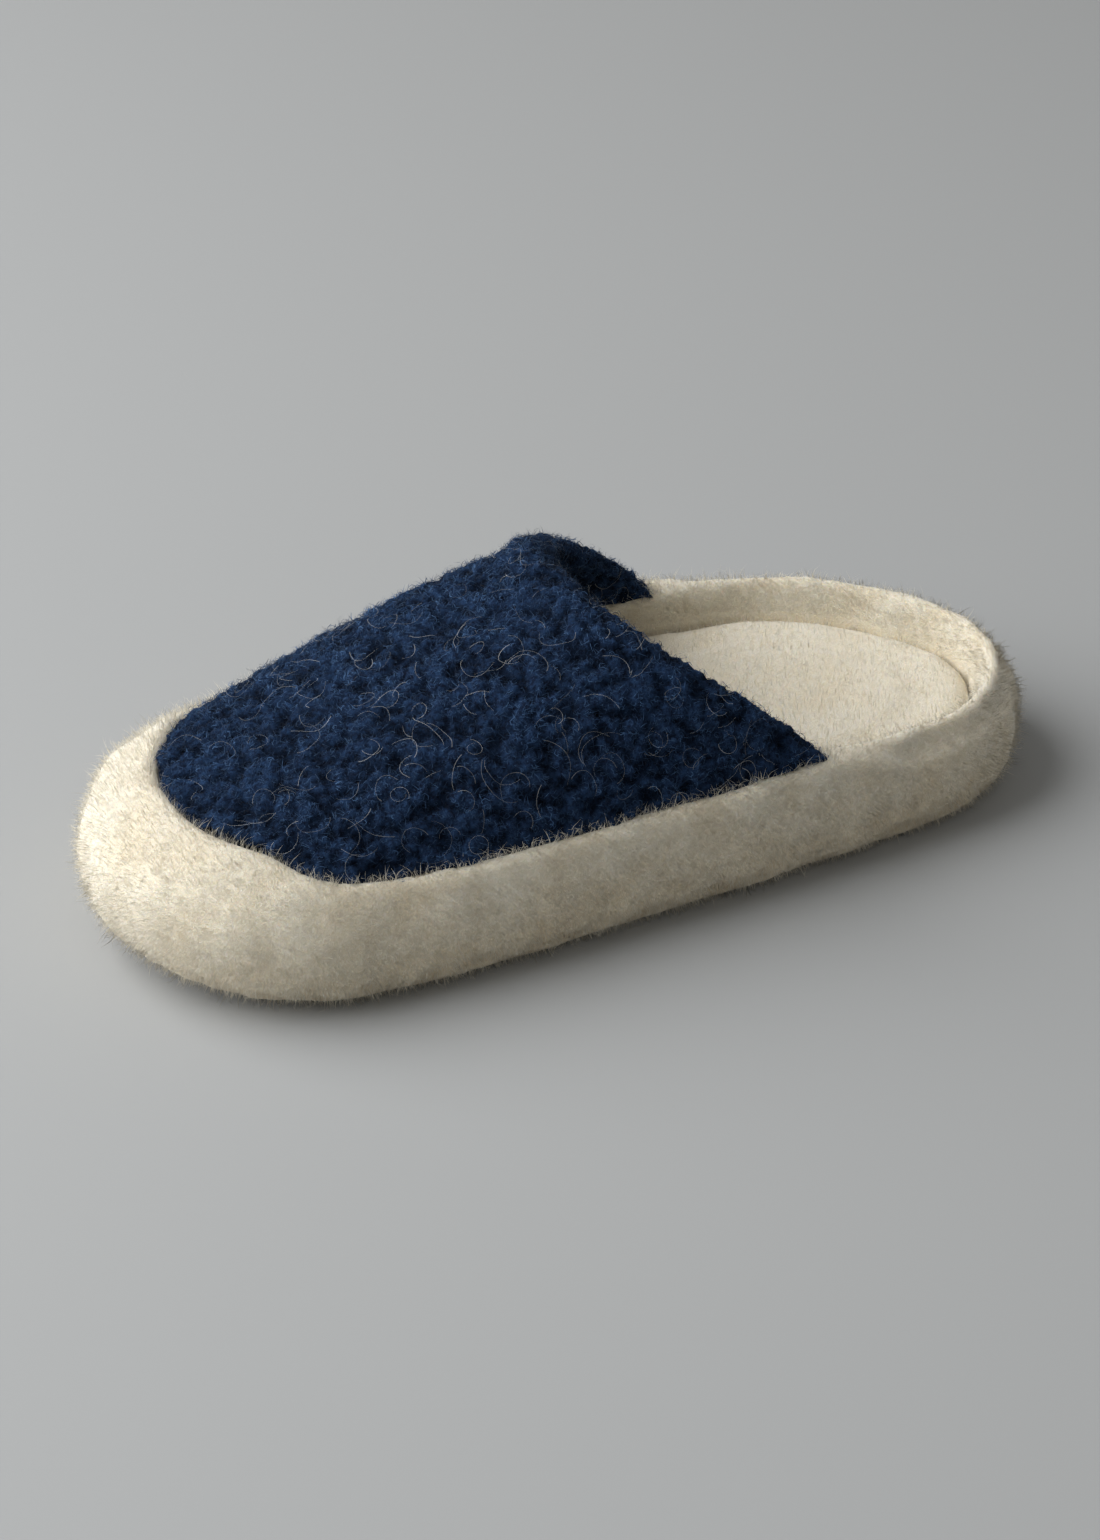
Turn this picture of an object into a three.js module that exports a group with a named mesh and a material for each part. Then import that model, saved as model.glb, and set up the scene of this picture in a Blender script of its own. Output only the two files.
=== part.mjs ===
// A backless wool slipper for the right foot, in millimetres. The toe points along +X, the inner
// (big toe) side is +Y, +Z is up, and the origin is under the middle of the slipper, on the floor.
//
// Four pieces go together as a slipper maker would join them:
//   outsole      a thin embossed sheet, a little cupped at its edge
//   insole       a padded fleece footbed that lies on the sheet
//   fleece_band  a thick roll of fleece round the sole, rising over the toe as a cap
//   upper        the vamp, one hollow wall from the band's seam over the instep, open behind
//
// Every surface comes from the same few functions: two outlines in plan, and one dome that stands on
// the fleece outline. Lengths along the slipper are shares counted from the toe.
import * as THREE from 'three';

// Overall form
const LENGTH = 283; // toe to heel, over the fleece
const WIDTH = 132; // widest, over the fleece
const THROAT_HEIGHT = 78; // top of the upper at the throat
const TOE_CREST_HEIGHT = 43; // top of the toe, just behind its round nose
const BULGE_HEIGHT = 18; // where the fleece band is widest
const TOE_SPRING = 7; // lift of the toe tip off the floor
const HEEL_LIFT = 1.5; // lift of the very back of the heel
const DOME_FULLNESS = 2.4; // 2 is an elliptic section, more is squarer

// Outsole sheet
const SHEET_LENGTH = 250;
const SHEET_WIDTH = 86;
const SHEET_THICKNESS = 2.5;
const SHEET_TOE_MARGIN = 17; // fleece in front of the sheet
const SHEET_CUP = 1.5; // how far the sheet's edge curls up
const SHEET_CUP_SPREAD = 9; // how far in from the edge it curls

// Footbed
const FOOTBED_HEIGHT = 23; // top of the footbed at its middle
const FOOTBED_EDGE_RISE = 2.5;
const ARCH_RISE = 3; // under the inner side of the foot
const PLUMP = 1.2; // soft swell of the padding between its edge and its middle

// Fleece band
const BAND_PROUD = 5; // how far the band stands out past the upper
const BAND_WALL = 10; // fleece left inside that, at its widest
const BAND_UNDER = 13; // how far the band turns in under its widest line
const BAND_FOOT_TAPER = 3; // inner wall leans out by this above the sheet
const SHELF_LEAST = 3; // narrowest shelf of fleece under the footbed
const SEAM_SIDE_HEIGHT = 36;
const SEAM_TOE_HEIGHT = 41;
const ROLL_SEAM_HEIGHT = 29; // behind the upper, where the band's top is a free roll
const ROLL_RISE = 6.5;
const LUMP = 0.6; // slow swell of the fleece
const LUMP_LENGTH = 31;
const LUMP_PHASE = 1.4;

// Upper
const UPPER_WALL = 8;
const THROAT_SHARE = 0.52; // the throat on the crest, from the toe
const WING_SHARE = 0.71; // where the upper's sides end
const HEM_SWELL = 2.4; // rolled hem along the throat
const HEM_WIDTH = 14;
const RIM_ROUND = 3.5; // how far the hem's round edge reaches past the throat
const CAP_SHARE = 0.17; // the upper's lines run together here, on the crest behind the toe

const GAP = 0.3; // clearance between neighbouring pieces
const EDGE_GAP = 0.36; // the same round the sheet's edge, a little more for its slanted corners

// Facets
const FRONT_STATIONS = 26;
const HEM_STATIONS = 6;
const BACK_STATIONS = 16;
const UPPER_ROWS = 14;
const SEARCH_DEPTH = 45; // how far in from the fleece outline the seam may lie

const COLOURS = {
  sheet: new THREE.Color(0x262627),
  fleece: new THREE.Color(0xe9e1cc),
  footbed: new THREE.Color(0xe4dbc5),
  wool: new THREE.Color(0x20304f),
};

// Half widths as shares of the width, left and right of the line from toe tip to heel tip
const FLEECE_PLAN = [
  { share: 0.0, inner: 0.36, outer: 0.365 },
  { share: 0.07, inner: 0.392, outer: 0.435 },
  { share: 0.15, inner: 0.417, outer: 0.468 },
  { share: 0.25, inner: 0.432, outer: 0.515 },
  { share: 0.38, inner: 0.434, outer: 0.556 },
  { share: 0.5, inner: 0.42, outer: 0.562 },
  { share: 0.62, inner: 0.411, outer: 0.551 },
  { share: 0.74, inner: 0.388, outer: 0.526 },
  { share: 0.84, inner: 0.37, outer: 0.484 },
  { share: 0.92, inner: 0.384, outer: 0.436 },
  { share: 1.0, inner: 0.385, outer: 0.37 },
];

const SHEET_PLAN = [
  { share: 0.0, inner: 0.44, outer: 0.4 },
  { share: 0.08, inner: 0.43, outer: 0.475 },
  { share: 0.18, inner: 0.42, outer: 0.54 },
  { share: 0.3, inner: 0.4, outer: 0.6 },
  { share: 0.42, inner: 0.365, outer: 0.592 },
  { share: 0.55, inner: 0.352, outer: 0.558 },
  { share: 0.68, inner: 0.36, outer: 0.528 },
  { share: 0.8, inner: 0.365, outer: 0.46 },
  { share: 0.9, inner: 0.375, outer: 0.415 },
  { share: 1.0, inner: 0.36, outer: 0.36 },
];

// Height of the crest line as a share of its rise from the toe crest to the throat
const CREST = [
  { share: 0.0, rise: -0.06 },
  { share: 0.1, rise: 0.03 },
  { share: 0.22, rise: 0.37 },
  { share: 0.34, rise: 0.66 },
  { share: 0.44, rise: 0.86 },
  { share: 0.52, rise: 1.0 },
  { share: 0.75, rise: 1.06 },
  { share: 1.0, rise: 1.06 },
];

const clamp = THREE.MathUtils.clamp;
const smooth = THREE.MathUtils.smoothstep;
const mix = THREE.MathUtils.lerp;

// A smooth curve through one column of a table, at a share of the length.
function readTable(rows, column, share) {
  const last = rows.length - 1;
  let row = 0;
  while (row < last - 1 && share > rows[row + 1].share) row += 1;
  const at = (n) => rows[clamp(n, 0, last)];
  const [a, b, c, d] = [at(row - 1), at(row), at(row + 1), at(row + 2)];
  const span = c.share - b.share;
  const t = clamp((share - b.share) / span, 0, 1);
  const slopeB = ((c[column] - a[column]) / (c.share - a.share || 1)) * span;
  const slopeC = ((d[column] - b[column]) / (d.share - b.share || 1)) * span;
  return (
    b[column] * (2 * t ** 3 - 3 * t ** 2 + 1) +
    slopeB * (t ** 3 - 2 * t ** 2 + t) +
    c[column] * (-2 * t ** 3 + 3 * t ** 2) +
    slopeC * (t ** 3 - t ** 2)
  );
}

// 0 at an end of the slipper, rising as a quarter ellipse to 1 after the given share.
function roundEnd(share, spread, fullness = 2) {
  const t = clamp(1 - share / spread, 0, 1);
  return (1 - t ** fullness) ** (1 / fullness);
}

// An outline in plan: where it starts, how long and wide it is, and how round its ends are.
const FLEECE = { plan: FLEECE_PLAN, front: LENGTH / 2, length: LENGTH, width: WIDTH, toe: 0.17, heel: 0.2 };
const SHEET = {
  plan: SHEET_PLAN,
  front: LENGTH / 2 - SHEET_TOE_MARGIN,
  length: SHEET_LENGTH,
  width: SHEET_WIDTH,
  toe: 0.11,
  heel: 0.17,
};

// The outline drawn in by an even margin.
function drawnIn(outline, margin) {
  return {
    ...outline,
    front: outline.front - margin,
    length: outline.length - 2 * margin,
    width: outline.width - 2 * margin,
  };
}

const DOME = drawnIn(FLEECE, BAND_PROUD);

function halfWidth(outline, side, share) {
  const ends = roundEnd(share, outline.toe) * roundEnd(1 - share, outline.heel);
  return outline.width * readTable(outline.plan, side, share) * ends;
}

// The fleece outline bows to the outer side, so its middle lies off the line from toe to heel.
const widest = (side) => Math.max(...FLEECE_PLAN.map((row) => row[side])) * WIDTH;
const AXIS_Y = (widest('outer') - widest('inner')) / 2;

function outlinePoint(outline, side, share) {
  const sign = side === 'inner' ? 1 : -1;
  return new THREE.Vector2(
    outline.front - outline.length * share,
    AXIS_Y + sign * halfWidth(outline, side, share),
  );
}

// Middle line of the dome, and the crest's height along it.
function crestY(share) {
  return AXIS_Y + (halfWidth(DOME, 'inner', share) - halfWidth(DOME, 'outer', share)) / 2;
}

function crestHeight(share) {
  const line = mix(TOE_CREST_HEIGHT, THROAT_HEIGHT, readTable(CREST, 'rise', share));
  const ends = roundEnd(share, 0.115) * roundEnd(1 - share, 0.12, DOME_FULLNESS);
  return mix(BULGE_HEIGHT, line, ends);
}

const domeHalf = (share) => (halfWidth(DOME, 'inner', share) + halfWidth(DOME, 'outer', share)) / 2;

// Height of the dome above the floor at a place in plan, or the bulge height outside it.
function domeHeight(x, y) {
  const share = (DOME.front - x) / DOME.length;
  if (share <= 0 || share >= 1) return BULGE_HEIGHT;
  const off = Math.abs(y - crestY(share)) / domeHalf(share);
  if (off >= 1) return BULGE_HEIGHT;
  const rise = (1 - off ** DOME_FULLNESS) ** (1 / DOME_FULLNESS);
  return mix(BULGE_HEIGHT, crestHeight(share), rise);
}

function domeNormal(x, y) {
  const step = 0.05;
  const slopeX = (domeHeight(x + step, y) - domeHeight(x - step, y)) / (2 * step);
  const slopeY = (domeHeight(x, y + step) - domeHeight(x, y - step)) / (2 * step);
  return new THREE.Vector3(-slopeX, -slopeY, 1).normalize();
}

// The sole line: flat from heel to ball, then rising to the toe.
function soleLift(x) {
  const forward = clamp((x - LENGTH * 0.2) / (LENGTH * 0.3), 0, 1);
  const back = clamp((-x - LENGTH * 0.38) / (LENGTH * 0.12), 0, 1);
  return TOE_SPRING * forward ** 2 + HEEL_LIFT * back ** 2;
}

// Every piece is shaped on a flat sole and then bent up with it.
function bent(x, y, z) {
  return new THREE.Vector3(x, y, z + soleLift(x));
}

// A closed skin of triangles, built from rows of numbered points.
class Skin {
  constructor() {
    this.places = [];
    this.faces = [];
  }

  point(place) {
    this.places.push(place.x, place.y, place.z);
    return this.places.length / 3 - 1;
  }

  row(places) {
    return places.map((place) => this.point(place));
  }

  triangle(a, b, c) {
    if (a !== b && b !== c && c !== a) this.faces.push(a, b, c);
  }

  // Joins two rows of equal length, which may close on themselves. It faces out where the first row
  // is the lower one and both run anticlockwise as seen from above.
  join(rowA, rowB, closed = false) {
    const count = rowA.length;
    for (let n = 0; n < (closed ? count : count - 1); n += 1) {
      const next = (n + 1) % count;
      this.triangle(rowA[n], rowA[next], rowB[next]);
      this.triangle(rowA[n], rowB[next], rowB[n]);
    }
  }

  joinAll(rows, closed = false) {
    rows.slice(1).forEach((row, n) => this.join(rows[n], row, closed));
  }

  mesh(name, colour, roughness) {
    const geometry = new THREE.BufferGeometry();
    geometry.setAttribute('position', new THREE.Float32BufferAttribute(this.places, 3));
    geometry.setIndex(this.faces);
    geometry.computeVertexNormals();
    const material = new THREE.MeshStandardMaterial({ color: colour, roughness, metalness: 0 });
    const mesh = new THREE.Mesh(geometry, material);
    mesh.name = name;
    return mesh;
  }
}

// Shares of the length at which every piece has a station. They crowd together round the toe and the
// heel, and along the hem.
const HEM_SHARE = HEM_WIDTH / DOME.length;
const HEM_START = WING_SHARE - HEM_SHARE;

function sideShares() {
  const count = (n) => Array.from({ length: n }, (_, i) => i / n);
  const ease = (t) => 1 - Math.cos((Math.PI * t) / 2);
  return [
    ...count(FRONT_STATIONS).map((t) => HEM_START * ease(t)),
    ...count(HEM_STATIONS).map((t) => HEM_START + HEM_SHARE * t),
    ...count(BACK_STATIONS).map((t) => 1 - (1 - WING_SHARE) * ease(1 - t)),
    1,
  ];
}

const SHARES = sideShares();
const toStations = (side, shares) => shares.map((share) => ({ side, share }));

// Anticlockwise from the toe tip, down the inner side and back up the outer side.
const ALL_ROUND = [
  ...toStations('inner', SHARES),
  ...toStations('outer', SHARES.slice(1, -1)).reverse(),
];

// A line in plan that runs outward through a station, from the sheet's edge to the fleece outline.
function rayAt({ side, share }) {
  const foot = outlinePoint(SHEET, side, share);
  const rim = outlinePoint(FLEECE, side, share);
  const reach = foot.distanceTo(rim);
  const out = rim.clone().sub(foot).divideScalar(reach);
  const at = (distance) => foot.clone().addScaledVector(out, distance);
  return { side, share, reach, out, at };
}

// How far out along the ray the dome has a given height, found by halving.
function domeReach(ray, height) {
  let outside = ray.reach;
  let inside = ray.reach - SEARCH_DEPTH;
  for (let n = 0; n < 40; n += 1) {
    const middle = (inside + outside) / 2;
    const place = ray.at(middle);
    if (domeHeight(place.x, place.y) > height) inside = middle;
    else outside = middle;
  }
  return inside;
}

// Behind the upper's wings the band's top turns into a free roll.
const rollShare = (share) => smooth(share, WING_SHARE + 0.02, WING_SHARE + 0.1);

function seamHeight(share) {
  const front = mix(SEAM_TOE_HEIGHT, SEAM_SIDE_HEIGHT, smooth(share, 0.05, 0.2));
  return mix(front, ROLL_SEAM_HEIGHT, rollShare(share));
}

// A place on the dome along a ray: level 0 is the widest line, 1 is the seam.
function wallPlace(ray, level) {
  const rise = Math.sin((clamp(level, 0, 1) * Math.PI) / 2);
  const height = mix(BULGE_HEIGHT + 0.02, seamHeight(ray.share), rise);
  const reach = domeReach(ray, height);
  const place = ray.at(reach);
  return { reach, height, normal: domeNormal(place.x, place.y) };
}

// The level at which the wall has a given height.
function levelOf(ray, height) {
  const rise = (height - BULGE_HEIGHT) / (seamHeight(ray.share) - BULGE_HEIGHT);
  return (Math.asin(clamp(rise, 0, 0.85)) * 2) / Math.PI;
}

// The inside of the wall at that place, or a little clear of it.
function wallInside(ray, level, clearance = 0) {
  const { reach, height, normal } = wallPlace(ray, level);
  const place = ray.at(reach);
  const depth = mix(BAND_WALL, UPPER_WALL, level) + clearance;
  return new THREE.Vector3(place.x, place.y, height).addScaledVector(normal, -depth);
}

// Where the band's inner wall meets its shelf.
function shelfReach(ray) {
  return Math.max(wallPlace(ray, 0).reach - BAND_WALL - BAND_FOOT_TAPER, SHELF_LEAST);
}
const SHELF_HEIGHT = SHEET_CUP + SHEET_THICKNESS;

function lumps(ray, level) {
  const place = ray.at(ray.reach);
  const turn = (2 * Math.PI) / LUMP_LENGTH;
  const swell =
    Math.sin(place.x * turn + 1.3 * Math.sin(place.y * turn * 0.7) + LUMP_PHASE) +
    0.7 * Math.sin((place.x - place.y) * turn * 1.7 + level * 2.1 + LUMP_PHASE);
  return LUMP * swell;
}

// The footbed is dished: it rises to its edge, and more under the arch.
function footbedEdge({ side, share }) {
  const arch = side === 'inner' ? smooth(share, 0.3, 0.5) - smooth(share, 0.62, 0.82) : 0;
  return FOOTBED_HEIGHT + FOOTBED_EDGE_RISE + ARCH_RISE * arch;
}

// One section of the fleece band, as a closed loop of points.
function bandSection(station) {
  const ray = rayAt(station);
  const toe = 1 - smooth(ray.share, 0.02, 0.16);
  const crispness = mix(2.5, 1.8, toe);
  const widestReach = wallPlace(ray, 0).reach;
  const loop = [];
  const put = (distance, height) => {
    const place = ray.at(distance);
    loop.push(bent(place.x, place.y, height));
  };

  // Outer side, from the seam down to the widest line
  for (const level of [1, 0.92, 0.8, 0.62, 0.4, 0.2, 0]) {
    const { reach, height } = wallPlace(ray, level);
    const fade = 1 - level ** crispness;
    put(reach + (ray.reach - widestReach + lumps(ray, level)) * fade, height);
  }

  // Under the bulge to the floor, then in to the sheet's edge
  const floorReach = ray.reach - BAND_UNDER;
  for (const turn of [25, 48, 70, 90]) {
    const angle = THREE.MathUtils.degToRad(turn);
    const out = Math.max(Math.cos(angle), 0) ** 0.9;
    const down = Math.sin(angle) ** 0.9;
    put(mix(floorReach, ray.reach, out) + lumps(ray, 0) * out, BULGE_HEIGHT * (1 - down));
  }
  put(floorReach * 0.5, 0);
  const edge = outlinePoint(drawnIn(SHEET, -EDGE_GAP), station.side, station.share);
  loop.push(bent(edge.x, edge.y, SHEET_CUP * 0.9));

  // Up beside the sheet, out along the shelf under the footbed, and up the inner wall
  loop.push(bent(edge.x, edge.y, SHELF_HEIGHT));
  put(shelfReach(ray), SHELF_HEIGHT);
  const footbed = levelOf(ray, footbedEdge(station));
  for (const level of [0, footbed, mix(footbed, 1, 0.5), 1]) {
    const place = wallInside(ray, level);
    loop.push(bent(place.x, place.y, place.z));
  }

  // Across the top: flat under the upper, a round roll behind it
  const inside = wallInside(ray, 1);
  const seam = wallPlace(ray, 1);
  const rim = ray.at(seam.reach);
  const outside = new THREE.Vector3(rim.x, rim.y, seam.height);
  for (const across of [0.2, 0.5, 0.8]) {
    const hump = ROLL_RISE * rollShare(ray.share) * Math.sqrt(1 - (2 * across - 1) ** 2);
    const place = inside.clone().lerp(outside, across);
    loop.push(bent(place.x, place.y, place.z + hump));
  }
  return loop;
}

function makeFleeceBand() {
  const skin = new Skin();
  const sections = ALL_ROUND.map((station) => skin.row(bandSection(station)));
  sections.forEach((section, n) => skin.join(section, sections[(n + 1) % sections.length], true));
  return skin.mesh('fleece_band', COLOURS.fleece, 1);
}

// The middle line of the sheet, on which its rows close.
function spineOf(share) {
  const at = clamp(share, SHEET.toe, 1 - SHEET.heel);
  return outlinePoint(SHEET, 'inner', at).add(outlinePoint(SHEET, 'outer', at)).multiplyScalar(0.5);
}

// Rows of places over the sheet, from its edge in to the spine, with the height of its underside.
function sheetRow(inward) {
  return ALL_ROUND.map(({ side, share }) => {
    const edge = outlinePoint(SHEET, side, share);
    const spine = spineOf(share);
    const place = edge.clone().lerp(spine, inward);
    const curl = clamp(1 - place.distanceTo(edge) / SHEET_CUP_SPREAD, 0, 1);
    return new THREE.Vector3(place.x, place.y, SHEET_CUP * curl ** 2);
  });
}

// Adds a row of places. On the spine, stations that share a place share its point.
function addRow(skin, places, onSpine) {
  const known = new Map();
  return places.map((place) => {
    const spot = bent(place.x, place.y, place.z);
    if (!onSpine) return skin.point(spot);
    const key = `${place.x.toFixed(3)} ${place.y.toFixed(3)}`;
    if (!known.has(key)) known.set(key, skin.point(spot));
    return known.get(key);
  });
}

const raised = (places, height) => places.map((p) => new THREE.Vector3(p.x, p.y, p.z + height));
const SHEET_STEPS = [0, 0.08, 0.16, 0.3, 0.6, 1];

function makeOutsole() {
  const skin = new Skin();
  const under = SHEET_STEPS.map((t) => addRow(skin, sheetRow(t), t === 1));
  const over = SHEET_STEPS.map((t) => addRow(skin, raised(sheetRow(t), SHEET_THICKNESS), t === 1));
  skin.joinAll([...under.reverse(), ...over], true);
  return skin.mesh('outsole', COLOURS.sheet, 0.62);
}

// The footbed's top, from the rim in to the spine.
function footbedRow(inward) {
  return ALL_ROUND.map((station) => {
    const ray = rayAt(station);
    const edge = footbedEdge(station);
    const rim = wallInside(ray, levelOf(ray, edge), GAP);
    const spine = spineOf(station.share);
    const fall = smooth(inward, 0, 0.7);
    return new THREE.Vector3(
      mix(rim.x, spine.x, inward),
      mix(rim.y, spine.y, inward),
      mix(rim.z, FOOTBED_HEIGHT, fall) + PLUMP * Math.sin(Math.PI * Math.sqrt(inward)) * (inward < 1),
    );
  });
}

function makeInsole() {
  const skin = new Skin();
  const rays = ALL_ROUND.map((station) => rayAt(station));
  const seat = SHEET_STEPS.map((t) =>
    addRow(skin, raised(sheetRow(t), SHEET_THICKNESS + GAP), t === 1),
  );
  const foot = rays.map((ray) => {
    const place = ray.at(shelfReach(ray) - GAP);
    return new THREE.Vector3(place.x, place.y, SHELF_HEIGHT + GAP);
  });
  const side = rays.map((ray) => wallInside(ray, 0, GAP));
  const top = [0, 0.07, 0.18, 0.34, 0.55, 0.78, 1].map((t) => addRow(skin, footbedRow(t), t === 1));
  skin.joinAll(
    [...seat.reverse(), addRow(skin, foot), addRow(skin, side), ...top],
    true,
  );
  return skin.mesh('insole', COLOURS.footbed, 1);
}

// Where a station's line over the upper meets the crest. Along the hem it keeps an even width.
function crestShareOf(share) {
  if (share >= HEM_START) return THROAT_SHARE - (WING_SHARE - share);
  const along = clamp((share - CAP_SHARE) / (HEM_START - CAP_SHARE), 0, 1);
  return mix(CAP_SHARE, THROAT_SHARE - HEM_SHARE, along);
}

// How much the hem stands out, at a share of its width in from the throat.
function hemSwell(share, rise) {
  const across = clamp((WING_SHARE - share) / HEM_SHARE, 0, 1);
  return HEM_SWELL * Math.sqrt(Math.sin(Math.PI * across)) * smooth(rise, 0, 0.15);
}

// One line over the upper, from the seam to the crest: places outside and inside the wall.
function upperLine(station) {
  const ray = rayAt(station);
  const seam = wallPlace(ray, 1);
  const foot = ray.at(seam.reach);
  const sign = station.side === 'inner' ? 1 : -1;
  const startShare = (DOME.front - foot.x) / DOME.length;
  const startHalf = domeHalf(startShare);
  const startOff = clamp((sign * (foot.y - crestY(startShare))) / startHalf, 0, 1);
  const startAngle = Math.acos(startOff ** (DOME_FULLNESS / 2));
  const endShare = crestShareOf(station.share);

  // The seam face stands square to the wall, a gap above the band
  const level = new THREE.Vector2(ray.out.x * seam.normal.x + ray.out.y * seam.normal.y, seam.normal.z);
  level.normalize().multiplyScalar(GAP);
  const lift = new THREE.Vector3(-ray.out.x * level.y, -ray.out.y * level.y, level.x);

  return Array.from({ length: UPPER_ROWS + 1 }, (_, n) => {
    const rise = n / UPPER_ROWS;
    if (n === 0) {
      const outside = new THREE.Vector3(foot.x, foot.y, seam.height).add(lift);
      return { outside, inside: wallInside(ray, 1).add(lift) };
    }
    const share = mix(startShare, endShare, Math.sin((rise * Math.PI) / 2));
    const angle = mix(startAngle, Math.PI / 2, rise);
    const off = n === UPPER_ROWS ? 0 : Math.cos(angle) ** (2 / DOME_FULLNESS);
    const x = DOME.front - DOME.length * share;
    const y = crestY(share) + sign * off * domeHalf(share);
    const normal = domeNormal(x, y);
    const surface = new THREE.Vector3(x, y, domeHeight(x, y));
    return {
      outside: surface.clone().addScaledVector(normal, hemSwell(station.share, rise)),
      inside: surface.clone().addScaledVector(normal, -UPPER_WALL),
    };
  });
}

function makeUpper() {
  const skin = new Skin();
  const front = SHARES.filter((share) => share <= WING_SHARE + 1e-9);
  // Anticlockwise: the outer wing, round the toe, to the inner wing
  const stations = [...toStations('outer', front.slice(1)).reverse(), ...toStations('inner', front)];
  const lines = stations.map((station) => upperLine(station));
  const rowsOf = (face) =>
    Array.from({ length: UPPER_ROWS + 1 }, (_, n) =>
      addRow(skin, lines.map((line) => line[n][face]), n === UPPER_ROWS),
    );
  const outside = rowsOf('outside');
  const inside = rowsOf('inside');
  skin.joinAll([...inside.slice().reverse(), ...outside]);

  // The throat's rim, rounded, from the inner wing over the crest to the outer wing
  const last = stations.length - 1;
  const edgePlaces = (face) => [
    ...lines[last].map((spot) => spot[face]),
    ...lines[0].slice(0, -1).reverse().map((spot) => spot[face]),
  ];
  const edgeRow = (rows) => [
    ...rows.map((row) => row[last]),
    ...rows.slice(0, -1).reverse().map((row) => row[0]),
  ];
  const backward = [
    ...lines[last].map((spot, n) => spot.inside.clone().sub(lines[last - 1][n].inside)),
    ...lines[0].slice(0, -1).map((spot, n) => spot.inside.clone().sub(lines[1][n].inside)).reverse(),
  ].map((way) => way.normalize());
  const insidePlaces = edgePlaces('inside');
  const outsidePlaces = edgePlaces('outside');
  const roundness = (n) => mix(0.3, 1, smooth(Math.min(n, 2 * UPPER_ROWS - n) / UPPER_ROWS, 0, 0.2));
  const rim = [0.2, 0.5, 0.8].map((across) => {
    const out = RIM_ROUND * Math.sqrt(1 - (2 * across - 1) ** 2);
    return skin.row(
      insidePlaces.map((place, n) => {
        const spot = place.clone().lerp(outsidePlaces[n], across);
        spot.addScaledVector(backward[n], out * roundness(n));
        return bent(spot.x, spot.y, spot.z);
      }),
    );
  });
  const strips = [edgeRow(inside), ...rim, edgeRow(outside)];
  skin.joinAll(strips);

  // Closes the two feet of the rim
  const end = strips[0].length - 1;
  for (let n = 1; n < strips.length - 1; n += 1) {
    skin.triangle(strips[0][0], strips[n][0], strips[n + 1][0]);
    skin.triangle(strips[0][end], strips[n + 1][end], strips[n][end]);
  }
  return skin.mesh('upper', COLOURS.wool, 1);
}

const slipper = new THREE.Group();
slipper.name = 'wool_slipper';
slipper.add(makeOutsole(), makeFleeceBand(), makeInsole(), makeUpper());
export default slipper;
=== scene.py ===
"""Looks of a backless wool slipper: curly navy wool over a cream fleece band, and an embossed dark sole."""

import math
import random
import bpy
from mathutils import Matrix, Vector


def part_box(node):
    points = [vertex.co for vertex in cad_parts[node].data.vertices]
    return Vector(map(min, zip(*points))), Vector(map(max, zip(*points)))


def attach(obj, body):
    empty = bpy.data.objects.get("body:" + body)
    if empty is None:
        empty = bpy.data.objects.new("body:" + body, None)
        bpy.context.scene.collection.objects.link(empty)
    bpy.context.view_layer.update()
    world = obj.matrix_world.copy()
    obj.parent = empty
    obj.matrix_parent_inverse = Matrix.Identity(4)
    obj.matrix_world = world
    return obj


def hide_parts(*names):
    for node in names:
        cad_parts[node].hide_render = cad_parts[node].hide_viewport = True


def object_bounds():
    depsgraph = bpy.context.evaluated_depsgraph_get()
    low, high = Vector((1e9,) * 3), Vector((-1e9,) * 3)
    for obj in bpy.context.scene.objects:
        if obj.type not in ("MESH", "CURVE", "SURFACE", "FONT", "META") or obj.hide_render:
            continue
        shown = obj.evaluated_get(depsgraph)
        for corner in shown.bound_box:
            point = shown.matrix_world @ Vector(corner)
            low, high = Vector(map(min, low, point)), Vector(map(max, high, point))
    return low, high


bl_info = {
    "name": "Wool Slipper",
    "version": (1, 0, 0),
    "blender": (4, 5, 0),
    "location": "3D View > Sidebar > Slipper",
    "description": "Dresses the slipper's solids in fleece, curly wool and an embossed sole sheet",
    "category": "Object",
}

import bmesh
import bpy
import numpy as np
from bpy.props import FloatProperty, FloatVectorProperty, IntProperty, PointerProperty
from bpy.types import Operator, Panel, PropertyGroup
from mathutils import Vector, noise
from mathutils.bvhtree import BVHTree

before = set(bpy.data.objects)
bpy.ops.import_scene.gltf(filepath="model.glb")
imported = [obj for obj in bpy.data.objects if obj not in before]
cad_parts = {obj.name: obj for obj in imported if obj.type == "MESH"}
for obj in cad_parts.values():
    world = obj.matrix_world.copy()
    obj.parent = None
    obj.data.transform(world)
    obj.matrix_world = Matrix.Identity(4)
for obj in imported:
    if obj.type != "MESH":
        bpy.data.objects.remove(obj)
CAD_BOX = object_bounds()
BODY = "root"
MM = 0.001
CM2 = 0.0001


# Sizes and colours that a user may change


def colour(name, description, default):
    return FloatVectorProperty(
        name=name, description=description, default=default, size=3, min=0.0, max=1.0, subtype="COLOR"
    )


def length(name, description, default):
    return FloatProperty(
        name=name,
        description=description,
        default=default,
        min=0.0,
        soft_max=0.05,
        unit="LENGTH",
        precision=5,
    )


def amount(name, description, default, high=1.0):
    return FloatProperty(name=name, description=description, default=default, min=0.0, max=high)


def power(name, description, default):
    return FloatProperty(name=name, description=description, default=default, min=0.0, unit="POWER")


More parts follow.
